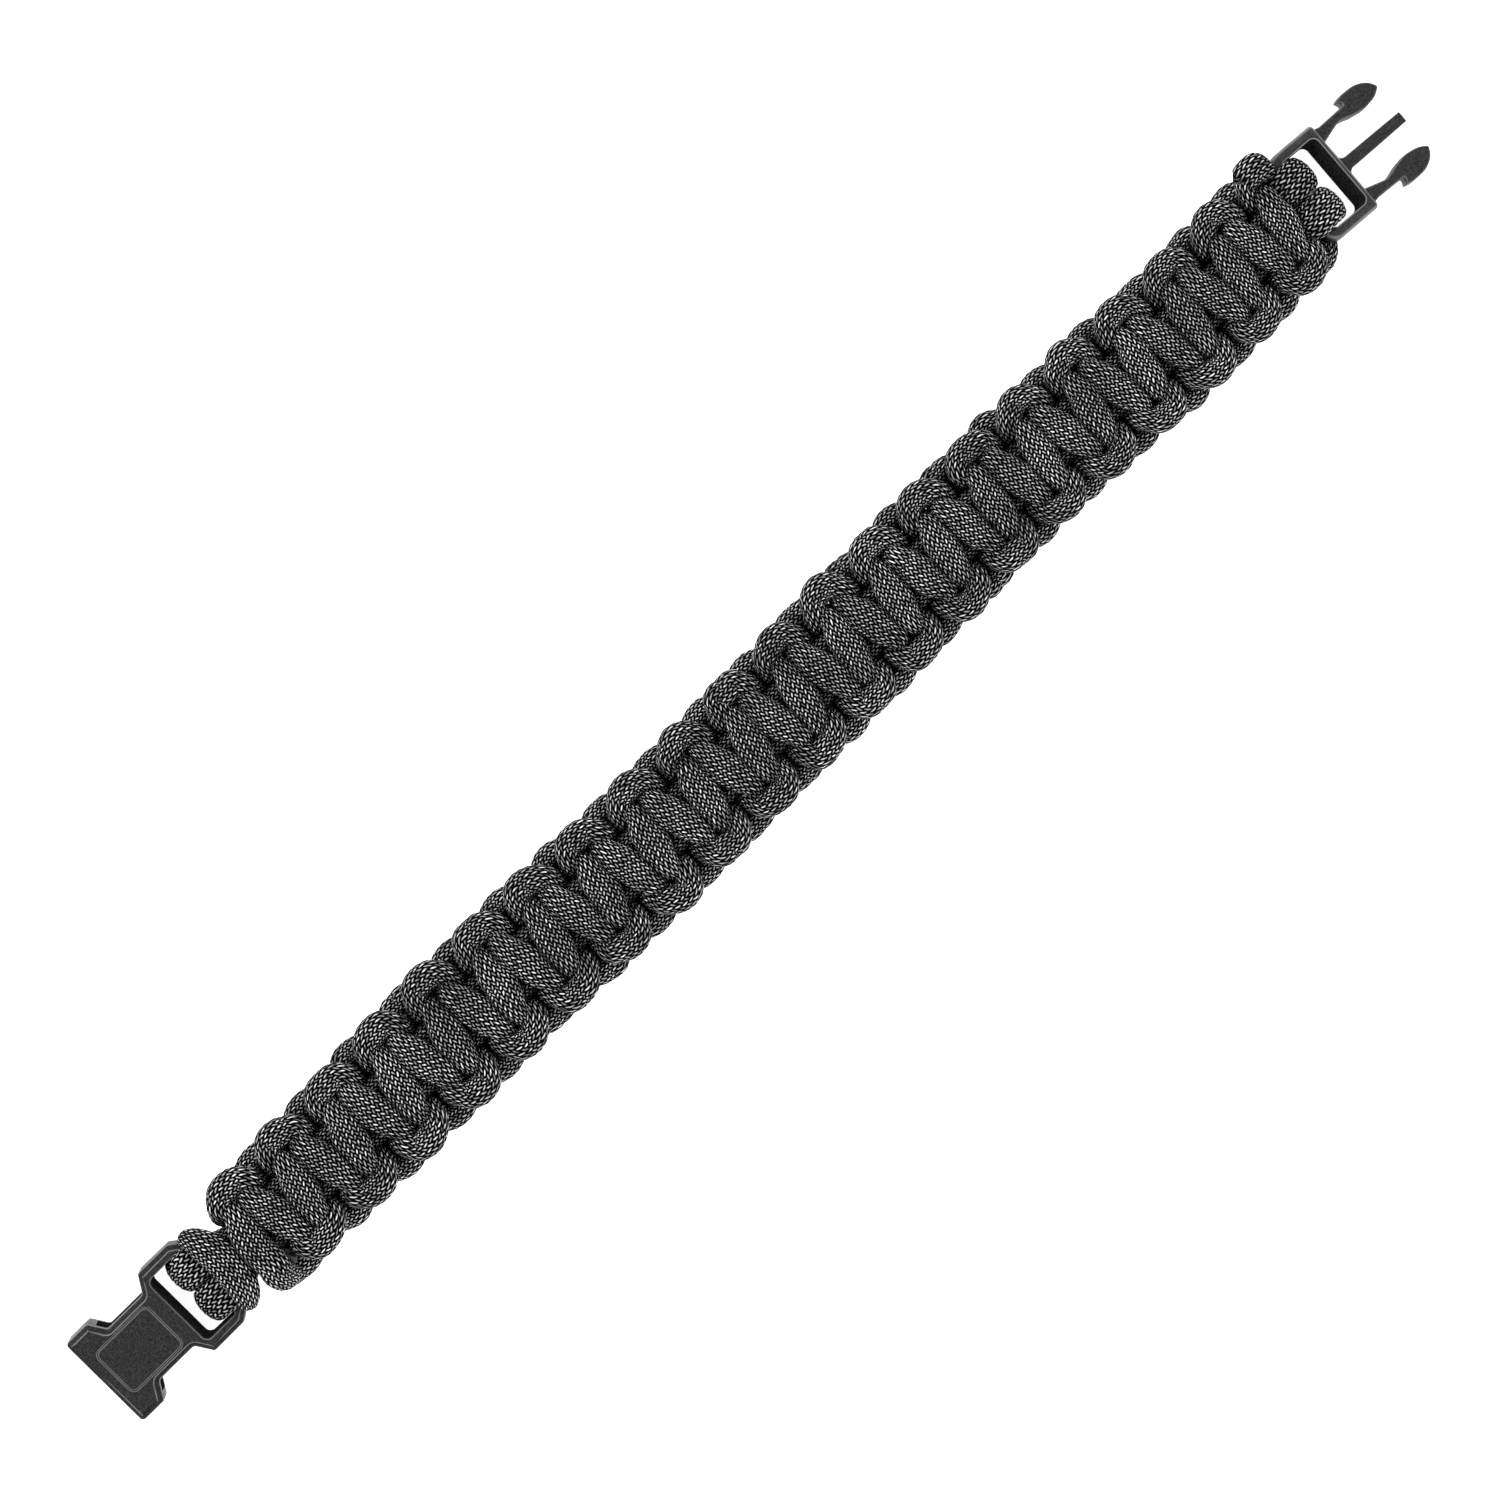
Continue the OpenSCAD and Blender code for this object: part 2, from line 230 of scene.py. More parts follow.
def strand_rows(rng, start_rows, first_quarter):
    """Rows of the front strand: bar after bar, with a lobe between two bars on alternate sides."""
    rows = []
    for bar in range(BARS):
        before = QUARTER[:start_rows] if bar == 0 else QUARTER[:-1]
        after = first_quarter if bar == 0 else QUARTER
        if bar == BARS - 1:
            after = QUARTER[:-1]
        rows += [knot_row(row, bar, -1, rng) for row in before[::-1]]
        rows += [knot_row(row, bar, 1, rng) for row in after[1:]]
    return rows


def turned(rows):
    """The same rows turned half a turn about the strap's own axis."""
    return [(x, -y, -z, w, t, a, -b, -c) for x, y, z, w, t, a, b, c in rows]


def mirrored(rows):
    """The same rows on the other side of the strap's middle."""
    return [(x, -y, z, w, t, a, -b, c) for x, y, z, w, t, a, b, c in rows]


def wrap_rows(bar, out, angles, width, thick):
    """Rings of cord round a buckle's bar, on its plug side (out 1) or its socket side (out -1)."""
    radius = BAR_R + BAR_GAP + thick / 2
    rows = []
    for angle in angles:
        c, s = math.cos(math.radians(angle)), math.sin(math.radians(angle))
        rows.append((bar[0] + out * radius * c, LOOP_Y, bar[1] - MID_Z + radius * s,
                     width, thick, out * c, 0.0, s))
    return rows


def core_rows():
    """The core strands: over the plug's bar, through the weave, hitched on the socket's bar, and back.

    Rows say the same as those of knot_row.
    """
    px, sx = PLUG_BAR[0], SOCKET_BAR[0]
    half = wrap_rows(PLUG_BAR, 1, (-90, -60, -30, 0, 30, 60, 90, 115), 5.25, 2.7)
    half += [(px - 2.6, 2.3, 0.45, 4.7, 3.2, 0, 0, 1), (px - 5.0, 1.9, 0.05, 3.8, 3.4, 0, 0, 1)]
    half += [(along(u), 1.9, 0, 3.8, 3.7, 0, 0, 1) for u in (36, 30, 24, 18, 12, 6, 1)]
    half += [(sx + 6.2, 1.85, -0.05, 3.5, 3.4, 0, 0, 1), (sx + 3.5, 2.2, 0.05, 4.3, 2.9, 0.1, 0, 1)]
    half += wrap_rows(SOCKET_BAR, -1, (112, 85, 60, 30, 0, -30, -60, -90), 5.3, 2.75)
    # The hitch: under the strands, up at their side and across them to the middle of the face
    half += [(sx + 1.2, 3.7, -3.2, 4.4, 2.3, *tip(0, 180)),
             (sx + 1.9, 4.6, -2.75, 3.0, 2.3, *tip(0, 150)),
             (sx + 2.0, 5.05, -1.5, 2.4, 2.3, *tip(0, 112)),
             (sx + 1.8, 5.5, 0.2, 2.4, 2.4, *tip(-6, 85)),
             (sx + 1.65, 5.6, 1.35, 2.7, 2.5, *tip(-8, 58)),
             (sx + 2.3, 4.8, 2.4, 3.6, 2.7, *tip(0, 30)),
             (sx + 2.85, 3.4, 2.95, 4.3, 2.8, *tip(8, 13)),
             (sx + 3.2, 1.7, 3.15, 4.6, 2.85, *tip(12, 5)),
             (sx + 3.3, 0.0, 3.2, 4.7, 2.85, *tip(13, 0))]
    return half + mirrored(half[:-1])[::-1]


def front_tail():
    """The front strand's end, from its last lobe in under the plug's bar."""
    x = PLUG_BAR[0]
    return [(x - 3.6, -7.2, -2.35, 3.7, 3.1, *lean(0, 1)),
            (x - 2.2, -6.7, -2.95, 3.6, 2.6, *lean(0, 1)),
            (x - 1.0, -5.2, -3.35, 3.6, 2.3, *lean(0, 1)),
            (x - 0.3, -3.9, -3.40, 4.2, 2.3, *lean(0, 1))]


def back_tail():
    """The back strand's end: a last lobe on the frame's corner, then in under the plug's bar."""
    x = PLUG_BAR[0]
    return [(x - 4.1, 7.7, 2.45, 4.0, 3.3, 0, 0, -1),
            (x - 2.2, 7.6, 2.5, 4.2, 3.2, -0.1, 0, -1),
            (x - 1.1, 6.9, 1.7, 4.0, 2.8, -0.7, 0, -0.7),
            (x - 1.0, 6.7, 0.1, 3.7, 2.4, -1, 0, -0.05),
            (x - 1.35, 6.2, -2.2, 3.4, 2.2, -0.8, 0, 0.6),
            (x - 1.0, 4.9, -3.35, 3.8, 2.2, -0.2, 0, 1),
            (x - 0.3, 3.8, -3.42, 4.2, 2.3, 0, 0, 1)]


def smooth_path(rows, step, between=24):
    """Points at even steps on a smooth curve through the rows, with their sections."""
    data = np.array(rows, float)
    gap = np.sqrt(np.linalg.norm(np.diff(data[:, :3], axis=0), axis=1))
    t = np.concatenate([[0], np.cumsum(gap)])
    slope = np.diff(data, axis=0) / np.diff(t)[:, None]
    tangent = np.empty_like(data)
    tangent[0], tangent[-1] = slope[0], slope[-1]
    before, after = np.diff(t)[:-1, None], np.diff(t)[1:, None]
    tangent[1:-1] = (slope[1:] * before + slope[:-1] * after) / (before + after)
    s = np.linspace(0, 1, between, endpoint=False)[:, None]
    fine = []
    for i in range(len(data) - 1):
        h = t[i + 1] - t[i]
        fine.append((2 * s**3 - 3 * s**2 + 1) * data[i] + (s**3 - 2 * s**2 + s) * h * tangent[i]
                    + (3 * s**2 - 2 * s**3) * data[i + 1] + (s**3 - s**2) * h * tangent[i + 1])
    fine = np.vstack(fine + [data[-1:]])
    length = np.concatenate([[0], np.cumsum(np.linalg.norm(np.diff(fine[:, :3], axis=0), axis=1))])
    count = int(round(length[-1] / step)) + 1
    at = np.linspace(0, length[-1], count)
    return np.stack([np.interp(at, length, fine[:, k]) for k in range(fine.shape[1])], axis=1)


# Tubes
def unit(v):
    """Vectors of the same directions and of length 1."""
    return v / np.linalg.norm(v, axis=-1, keepdims=True)


def stitch_height(u, v):
    """From 1 on the crest of a stitch to 0 beside it; u counts rows along the cord, v columns round it."""
    a, b = v + u, v - u
    floor_a, floor_b = np.floor(a), np.floor(b)
    # Yarns of family a lie on top at two steps of the four
    a_top = (floor_a + floor_b) % REPEAT < 1.5
    cross = np.where(a_top, a - floor_a, b - floor_b) * 2 - 1
    run = np.where(a_top, (floor_a + b) % REPEAT - 1, (floor_b + a) % REPEAT - 3)
    return np.clip(1 - FALL_ALONG * run**2 - FALL_ACROSS * cross**2, 0, 1)


def as_it_lies(points):
    """The strap isn't quite straight: its edges wander by a few tenths of a millimetre."""
    at, side, wider = np.array(LIE).T
    x = points[..., 0]
    points[..., 1] *= 1 + np.interp(x, at, wider) / STRAP_WIDTH
    points[..., 1] += np.interp(x, at, side)
    return points


def tube(rows, rng):
    """Rings of points round the route, VERTS to a ring, with the stitches standing out, and its slant.

    The slant says which way the cord leans where it crosses the strap, from -1 to 1.
    """
    path = smooth_path(rows, ROW / RINGS)
    place, width, thick, up = path[:, :3], path[:, 3], path[:, 4], path[:, 5:8]
    ahead = unit(np.gradient(place, axis=0))
    across = unit(np.cross(ahead, up))
    outward = np.cross(across, ahead)
    column = np.arange(VERTS) * COLUMNS / VERTS + FIRST_COLUMN
    row = np.arange(len(path)) / RINGS
    even = (2 * math.pi * column / COLUMNS)[None, :]
    # Columns are evenly spaced round the section, also where it is flat
    flat = ((width**2 - thick**2) / (width**2 + thick**2))[:, None] / 4
    angle = even + flat * np.sin(2 * even)
    c, s = np.cos(angle), np.sin(angle)
    squarish = (np.abs(c) ** SQUARISH + np.abs(s) ** SQUARISH) ** (-1 / SQUARISH)
    bump = RELIEF * (2 * stitch_height(row[:, None], column[None, :]) - 1)
    bump += rng.normal(0, UNEVEN_RELIEF, c.shape)
    points = (place[:, None, :]
              + ((width[:, None] / 2) * c * squarish + bump * c)[..., None] * across[:, None, :]
              + ((thick[:, None] / 2) * s * squarish + bump * s)[..., None] * outward[:, None, :])
    points[..., 2] = np.maximum(points[..., 2] + MID_Z, FLOOR_GAP)
    return as_it_lies(points), np.clip(5 * ahead[:, 0] * ahead[:, 1], -1, 1)


def quads_between(rings, around):
    """Corner numbers of the faces between rings that have so many vertices each."""
    ring = np.arange(rings - 1)[:, None] * around
    here = np.arange(around)[None, :]
    beside = (here + 1) % around
    corners = [ring + here, ring + around + here, ring + around + beside, ring + beside]
    return np.stack(corners, axis=-1).reshape(-1, 4)


def tree_of(tubes, hard_pieces):
    """A search tree of the buckle and the cords, with every second ring and every third vertex of a ring."""
    verts, faces = [], []
    for piece in hard_pieces:
        first = len(verts)
        verts += [tuple(vert.co / MM) for vert in piece.data.vertices]
        faces += [[first + i for i in face.vertices] for face in piece.data.polygons]
    for points in tubes:
        coarse = points[::2, ::3]
        faces += (len(verts) + quads_between(*coarse.shape[:2])).tolist()
        verts += coarse.reshape(-1, 3).tolist()
    return BVHTree.FromPolygons(verts, faces)


def openness(points, tree):
    """How freely each vertex sees out past the cords beside it, from 0 in a pit to 1.

    Every second vertex of every second ring sends out its rays, and those between take the mean.
    """
    coarse = points[::2, ::2]
    along_cord = np.gradient(coarse, axis=0)
    round_cord = np.roll(coarse, -1, axis=1) - np.roll(coarse, 1, axis=1)
    out = unit(np.cross(round_cord, along_cord))
    centre = coarse.mean(axis=1, keepdims=True)
    out *= np.sign(np.sum(out * (coarse - centre), axis=-1, keepdims=True))
    side = unit(round_cord)
    ahead = np.cross(out, side)
    k = np.arange(SKY_RAYS) + 0.5
    rise, flat, spin = np.sqrt(1 - k / SKY_RAYS), np.sqrt(k / SKY_RAYS), k * GOLDEN_ANGLE
    start = (coarse + SKY_START * out).reshape(-1, 3).tolist()
    seen = np.zeros(len(start))
    for r, fx, fy in zip(rise, flat * np.cos(spin), flat * np.sin(spin)):
        way = (out * r + side * fx + ahead * fy).reshape(-1, 3).tolist()
        seen += [tree.ray_cast(a, b, SKY_REACH)[0] is None for a, b in zip(start, way)]
    seen = (seen / SKY_RAYS).reshape(coarse.shape[:2])
    rows = np.arange(len(points)) / 2
    low = np.minimum(rows.astype(int), len(seen) - 1)
    high = np.minimum(low + 1, len(seen) - 1)
    seen = seen[low] + (seen[high] - seen[low]) * (rows - low)[:, None]
    full = np.empty(points.shape[:2])
    full[:, ::2] = seen
    full[:, 1::2] = (seen + np.roll(seen, -1, axis=1)) / 2
    return full


def add_object(name, data):
    obj = bpy.data.objects.new(name, data)
    bpy.context.scene.collection.objects.link(obj)
    return obj


def tube_mesh(name, points, slant, open_to_sky, first_row):
    """A closed tube with a UV map that counts the sheath's rows and columns."""
    rings, n = points.shape[:2]
    quads = quads_between(rings, n)
    mesh = bpy.data.meshes.new(name)
    mesh.vertices.add(rings * n)
    mesh.vertices.foreach_set("co", (points.reshape(-1, 3) * MM).ravel())
    loops = np.concatenate([quads.ravel(), np.arange(n), (rings - 1) * n + np.arange(n)[::-1]])
    starts = np.concatenate([np.arange(len(quads)) * 4, [len(quads) * 4, len(quads) * 4 + n]])
    totals = np.concatenate([np.full(len(quads), 4), [n, n]])
    mesh.loops.add(len(loops))
    mesh.loops.foreach_set("vertex_index", loops.astype(np.int32))
    mesh.polygons.add(len(starts))
    mesh.polygons.foreach_set("loop_start", starts.astype(np.int32))
    mesh.polygons.foreach_set("loop_total", totals.astype(np.int32))
    rows = np.arange(rings) / RINGS + first_row
    wide = COLUMNS / VERTS
    v0 = (np.arange(n) * wide + FIRST_COLUMN) * np.ones((rings - 1, 1))
    u0 = rows[:-1, None] * np.ones((1, n))
    u1 = rows[1:, None] * np.ones((1, n))
    corners = [(u0, v0), (u1, v0), (u1, v0 + wide), (u0, v0 + wide)]
    uv = np.stack([np.stack(corner, -1) for corner in corners], axis=2).reshape(-1, 2)
    caps = np.zeros((2 * n, 2))
    mesh.uv_layers.new(name="cord").data.foreach_set("uv", np.concatenate([uv, caps]).ravel())
    mesh.polygons.foreach_set("use_smooth", np.concatenate([np.ones(len(quads), bool), [False, False]]))
    mesh.attributes.new("slant", "FLOAT", "POINT").data.foreach_set("value", np.repeat(slant, n))
    mesh.attributes.new("open", "FLOAT", "POINT").data.foreach_set("value", open_to_sky.ravel())
    mesh.update(calc_edges=True)
    mesh.validate()
    return add_object(name, mesh)


# Materials
# The second colour on the next line is a painted highlight for the crests of the yarns' stitches
YARN_DARK, YARN_PAINTED_HIGHLIGHT = (0.001, 0.001, 0.0011, 1), (0.95, 0.95, 0.96, 1)
MELTED_DARK, MELTED_BRIGHT = (0.006, 0.006, 0.006, 1), (0.03, 0.03, 0.032, 1)
PLASTIC_DARK, PLASTIC_SPECK = (0.003, 0.003, 0.0031, 1), (0.032, 0.032, 0.0325, 1)
# The first colour on the next line is a painted highlight for the buckle's edges
PLASTIC_PAINTED_HIGHLIGHT, PLASTIC_CLOUD = (0.20, 0.20, 0.203, 1), (0.012, 0.012, 0.0125, 1)
FLOOR_DARK, FLOOR_BRIGHT = (0.90, 0.90, 0.90, 1), (0.93, 0.93, 0.93, 1)


class Nodes:
    """Short calls for a material's node tree."""

    def __init__(self, name):
        self.mat = bpy.data.materials.new(name)
        self.mat.use_nodes = True
        self.tree = self.mat.node_tree
        self.shader = self.tree.nodes["Principled BSDF"]

    def add(self, kind, **values):
        node = self.tree.nodes.new(kind)
        for key, value in values.items():
            setattr(node, key, value)
        return node

    def fill(self, socket, value):
        """A number or a colour is set on the socket itself; anything else is linked to it."""
        if isinstance(value, (int, float, tuple)):
            socket.default_value = value
        else:
            self.tree.links.new(value, socket)

    def shade(self, **values):
        """Fills the shader's sockets; Base_Color stands for the one named Base Color."""
        for name, value in values.items():
            self.fill(self.shader.inputs[name.replace("_", " ")], value)

    def math(self, op, a, b=0.0, c=0.0, clamp=False):
        node = self.add("ShaderNodeMath", operation=op, use_clamp=clamp)
        for slot, value in enumerate((a, b, c)):
            self.fill(node.inputs[slot], value)
        return node.outputs[0]

    def mix(self, a, b, share):
        node = self.add("ShaderNodeMix", data_type="RGBA")
        for slot, value in ((0, share), (6, a), (7, b)):
            self.fill(node.inputs[slot], value)
        return node.outputs[2]

    def ramp(self, value, low, high, to_low=0.0, to_high=1.0):
        node = self.add("ShaderNodeMapRange", interpolation_type="SMOOTHSTEP")
        for slot, number in enumerate((value, low, high, to_low, to_high)):
            self.fill(node.inputs[slot], number)
        return node.outputs[0]

    def noise(self, scale, detail=2.0, roughness=0.5):
        node = self.add("ShaderNodeTexNoise")
        self.fill(node.inputs["Vector"], self.add("ShaderNodeTexCoord").outputs["Object"])
        self.fill(node.inputs["Scale"], scale)
        self.fill(node.inputs["Detail"], detail)
        self.fill(node.inputs["Roughness"], roughness)
        return node.outputs[0]

    def attribute(self, name):
        return self.add("ShaderNodeAttribute", attribute_name=name).outputs["Fac"]

    def bump(self, height, strength, distance):
        node = self.add("ShaderNodeBump")
        self.fill(node.inputs["Strength"], strength)
        self.fill(node.inputs["Distance"], distance * MM)
        self.fill(node.inputs["Height"], height)
        self.shade(Normal=node.outputs[0])


def stitches(m):
    """The braid: every yarn goes over two and under two, as in stitch_height.

    Gives 1 where family a lies on top, the place across and along the yarn on top, both 0 at the middle
    of its stitch and 1 or -1 at the ends, and the stitch's number.
    """
    split = m.add("ShaderNodeSeparateXYZ")
    m.fill(split.inputs[0], m.add("ShaderNodeUVMap", uv_map="cord").outputs[0])
    wander = m.math("MULTIPLY", m.math("SUBTRACT", m.noise(900, 2), 0.5), 0.3)
    u, v = m.math("ADD", split.outputs[0], wander), split.outputs[1]
    a, b = m.math("ADD", v, u), m.math("SUBTRACT", v, u)
    floor_a, floor_b = m.math("FLOOR", a), m.math("FLOOR", b)
    a_top = m.math("LESS_THAN", m.math("FLOORED_MODULO", m.math("ADD", floor_a, floor_b), REPEAT), 1.5)
    b_top = m.math("SUBTRACT", 1.0, a_top)

    def on_top(of_a, of_b):
        return m.math("ADD", m.math("MULTIPLY", of_a, a_top), m.math("MULTIPLY", of_b, b_top))

    cross = on_top(m.math("MULTIPLY_ADD", m.math("SUBTRACT", a, floor_a), 2.0, -1.0),
                   m.math("MULTIPLY_ADD", m.math("SUBTRACT", b, floor_b), 2.0, -1.0))
    run = on_top(m.math("SUBTRACT", m.math("FLOORED_MODULO", m.math("ADD", floor_a, b), REPEAT), 1.0),
                 m.math("SUBTRACT", m.math("FLOORED_MODULO", m.math("ADD", floor_b, a), REPEAT), 3.0))
    number = m.add("ShaderNodeCombineXYZ")
    m.fill(number.inputs[0], floor_a)
    m.fill(number.inputs[1], floor_b)
    return a_top, cross, run, number.outputs[0]


def cord_material():
    """Braided nylon sheath: near-black yarns, with highlights painted on the crests of their stitches."""
    m = Nodes("braided_cord")
    a_top, cross, run, number = stitches(m)
    cross2, run2 = m.math("MULTIPLY", cross, cross), m.math("MULTIPLY", run, run)

    def crown(fall_along, fall_across, clamp=False):
        fall = m.math("MULTIPLY_ADD", run2, fall_along, m.math("MULTIPLY", cross2, fall_across))
        return m.math("SUBTRACT", 1.0, fall, clamp=clamp)

    # Painted highlight: the crest of each stitch is painted near white, standing in for the lamps' glint on
    # the yarn
    crest = m.ramp(crown(1.35, 2.4), 0.2, 0.8)
    # Painted light: by the cord's slant, one family of yarns is painted brighter than the other, as if the
    # lamps caught the yarns that lie more across the strap's own direction
    side = m.math("MULTIPLY", m.attribute("slant"), m.math("MULTIPLY_ADD", a_top, 2.0, -1.0))
    crest = m.math("MULTIPLY", crest, m.math("MULTIPLY_ADD", side, 0.28, 0.72))
    # Painted shade: down between two cords and next to the buckle, where little sky is open, the crests lose
    # their painted highlight, and they are also matt there
    crest = m.math("MULTIPLY", crest, m.ramp(m.attribute("open"), 0.1, 0.97))
    # Each stitch has a tone of its own, and the whole cord is a little uneven
    yarn = m.add("ShaderNodeTexWhiteNoise", noise_dimensions="2D")
    m.fill(yarn.inputs["Vector"], number)
    tone = m.math("MULTIPLY_ADD", yarn.outputs[0], 0.85, 0.15)
    patch = m.ramp(m.noise(120, 3), 0.3, 0.7, 0.75, 1.2)
    strength = m.math("MULTIPLY", m.math("MULTIPLY", crest, tone), patch, clamp=True)
    m.shade(Base_Color=m.mix(YARN_DARK, YARN_PAINTED_HIGHLIGHT, strength),
            Roughness=m.ramp(crest, 0.0, 1.0, 0.85, 0.5),
            Specular_IOR_Level=m.ramp(crest, 0.0, 1.0, 0.02, 0.5))
    fibre = m.math("MULTIPLY", m.math("SINE", m.math("MULTIPLY", cross, 9.0)), 0.06)
    m.bump(m.math("ADD", crown(FALL_ALONG, FALL_ACROSS, clamp=True), fibre), 0.8, 0.11)
    return m.mat


def melted_material():
    """Cord ends sealed with a flame: glossy, lumpy black nylon."""
    m = Nodes("melted_end")
    lumps = m.noise(1500, 3)
    m.shade(Base_Color=m.mix(MELTED_DARK, MELTED_BRIGHT, lumps),
            Roughness=m.ramp(lumps, 0.3, 0.7, 0.2, 0.45))
    m.bump(lumps, 0.6, 0.2)
    return m.mat


def plastic_material():
    """Moulded black acetal with a fine satin grain, with highlights painted on its edges."""
    m = Nodes("buckle_plastic")
    grain = m.noise(4200, 3, 0.65)
    cloud = m.noise(260, 3)
    edge = m.attribute("edge")
    base = m.mix(PLASTIC_DARK, PLASTIC_SPECK, m.ramp(grain, 0.36, 0.68))
    # Painted highlight: edges are painted much lighter, as far as the attribute edge says
    base = m.mix(base, PLASTIC_PAINTED_HIGHLIGHT, m.math("MULTIPLY", edge, 0.85))
    base = m.mix(base, PLASTIC_CLOUD, m.ramp(cloud, 0.45, 0.75, 0.0, 0.35))
    # The walls of the slots, where edge is below 0, are unpolished
    m.shade(Base_Color=base,
            Roughness=m.math("MULTIPLY_ADD", edge, -0.14, m.ramp(cloud, 0.3, 0.7, 0.38, 0.48)),
            Specular_IOR_Level=m.ramp(edge, -0.8, 0.0, 0.0, 0.2))
    m.bump(grain, 0.6, 0.05)
    return m.mat


def floor_material():
    """A pale, matt floor that glows a little, so that it also shows white through the slots."""
    m = Nodes("pale_floor")
    m.shade(Base_Color=m.mix(FLOOR_DARK, FLOOR_BRIGHT, m.noise(30, 2)),
            Roughness=0.9, Specular_IOR_Level=0.1,
            Emission_Color=(1, 1, 1, 1), Emission_Strength=0.8)
    return m.mat


# Buckle
def rounded(rows, steps=6):
    """Outline points with rounded corners; rows are x, y, radius."""
    out = []
    count = len(rows)
    for i, (x, y, r) in enumerate(rows):
        if r <= 0:
            out.append((x, y))
            continue
        p = np.array([x, y])
        u = unit(np.array(rows[i - 1][:2]) - p)
        v = unit(np.array(rows[(i + 1) % count][:2]) - p)
        half = math.acos(max(-1, min(1, float(u @ v)))) / 2
        centre = p + unit(u + v) * r / math.sin(half)
        a, b = p + u * r / math.tan(half) - centre, p + v * r / math.tan(half) - centre
        for k in range(steps + 1):
            out.append(tuple(centre + r * unit(a + (b - a) * k / steps)))
    return out


def both_sides(rows):
    """The rows of an outline's +Y side, and the same backwards on its -Y side."""
    return rows + [(x, -y, *rest) for x, y, *rest in rows[::-1]]


def rounded_box(start, end, half, start_r, end_r):
    """A box from x start to x end and y -half to half, with one corner radius at each end."""
    return rounded([(start, -half, start_r), (start, half, start_r), (end, half, end_r), (end, -half, end_r)])


def area(loop):
    """The area in an outline, below 0 where it runs clockwise."""
    p = np.array(loop)
    q = np.roll(p, -1, axis=0)
    return 0.5 * float(np.sum(p[:, 0] * q[:, 1] - q[:, 0] * p[:, 1]))


def inset(loop, d):
    """The outline moved inwards by d, corner by corner."""
    p = np.array(loop)
    ahead = unit(np.roll(p, -1, axis=0) - p)
    behind = np.roll(ahead, 1, axis=0)
    normal = np.stack([-ahead[:, 1], ahead[:, 0]], 1)
    normal_b = np.stack([-behind[:, 1], behind[:, 0]], 1)
    both = unit(normal + normal_b)
    spread = np.clip(np.sum(both * normal, axis=1), 0.5, 1)
    sign = 1 if area(loop) > 0 else -1
    return p + sign * d * both / spread[:, None]


class Moulding:
    """A closed moulded shape, built from outlines stacked in layers.

    The attribute edge says how much painted highlight a place gets, from 0 to 1, and is -1 on a slot's walls.
    """

    def __init__(self):
        self.bm = bmesh.new()
        self.edge = self.bm.verts.layers.float.new("edge")

    def ring(self, points, edge=0.0):
        out = []
        for point in points:
            vert = self.bm.verts.new(point)
            vert[self.edge] = edge
            out.append(vert)
        return out

    def rings(self, loop, layers):
        """Rings of one outline; layers are (inset, z, edge) from bottom to top."""
        return [self.ring([(x, y, z) for x, y in inset(loop, d)], edge) for d, z, edge in layers]

    def walls(self, rings):
        for a, b in zip(rings, rings[1:]):
            for i in range(len(a)):
                k = (i + 1) % len(a)
                self.bm.faces.new((a[i], a[k], b[k], b[i]))

    def cap(self, outer, holes=()):
        rings = [outer, *holes]
        flat = [vert for ring in rings for vert in ring]
        for tri in tessellate_polygon([[vert.co for vert in ring] for ring in rings]):
            self.bm.faces.new([flat[i] for i in tri])

    def slab(self, loop, layers, hole=None, hole_layers=(), panel=None):
        """A slab of the outline loop, with a hole through it and a groove round a panel on its top."""
        outer = self.rings(loop, layers)
        inner = self.rings(hole, [(-d, z, edge) for d, z, edge in hole_layers]) if hole else []
        self.walls(outer)
        self.walls(inner)
        self.cap(outer[0], [inner[0]] if inner else [])
        tops = [inner[-1]] if inner else []
        if panel:
            top = layers[-1][1]
            groove = self.rings(panel, [(d, top + z, edge) for d, z, edge in PANEL_GROOVE])
            self.walls(groove)
            self.cap(groove[-1])
            tops.append(groove[0])
        self.cap(outer[-1], tops)

    def bar(self, x, sides=20):
        """The round bar that the cord goes over, with both ends in the arms."""
        turns = [2 * math.pi * k / sides for k in range(sides)]
        ends = [self.ring([(x + BAR_R * math.cos(a), y, BAR_R * math.sin(a)) for a in turns])
                for y in (-SLOT_HALF - BAR_ROOT, SLOT_HALF + BAR_ROOT)]
        self.walls(ends)
        self.cap(ends[0])
        self.cap(ends[1])

    def cut_along(self, places):
        """More vertices across the shape, so that its faces can curve."""
        for x in places:
            geometry = self.bm.verts[:] + self.bm.edges[:] + self.bm.faces[:]
            bmesh.ops.bisect_plane(self.bm, geom=geometry, plane_co=(x, 0, 0), plane_no=(1, 0, 0), dist=1e-5)

    def bend(self, shape):
        for vert in self.bm.verts:
            vert.co = Vector(shape(*vert.co))

    def build(self, name, place):
        bmesh.ops.recalc_face_normals(self.bm, faces=self.bm.faces[:])
        mesh = bpy.data.meshes.new(name)
        self.bm.to_mesh(mesh)
        self.bm.free()
        mesh.transform(Matrix.Scale(MM, 4) @ place)
        mesh.polygons.foreach_set("use_smooth", np.ones(len(mesh.polygons), bool))
        mesh.set_sharp_from_angle(angle=math.radians(28))
        return add_object(name, mesh)


def box_cutter(name, low, high, place):
    """A box with slightly rounded edges, to be cut out of a piece."""
    mesh = bpy.data.meshes.new(name)
    bm = bmesh.new()
    bmesh.ops.create_cube(bm, size=1)
    for vert in bm.verts:
        vert.co = Vector([(lo + hi) / 2 + c * (hi - lo) for lo, hi, c in zip(low, high, vert.co)])
    bmesh.ops.bevel(bm, geom=bm.edges[:], offset=0.25, segments=2, affect="EDGES", profile=0.5)
    bm.to_mesh(mesh)
    bm.free()
    mesh.transform(Matrix.Scale(MM, 4) @ place)
    return add_object(name, mesh)


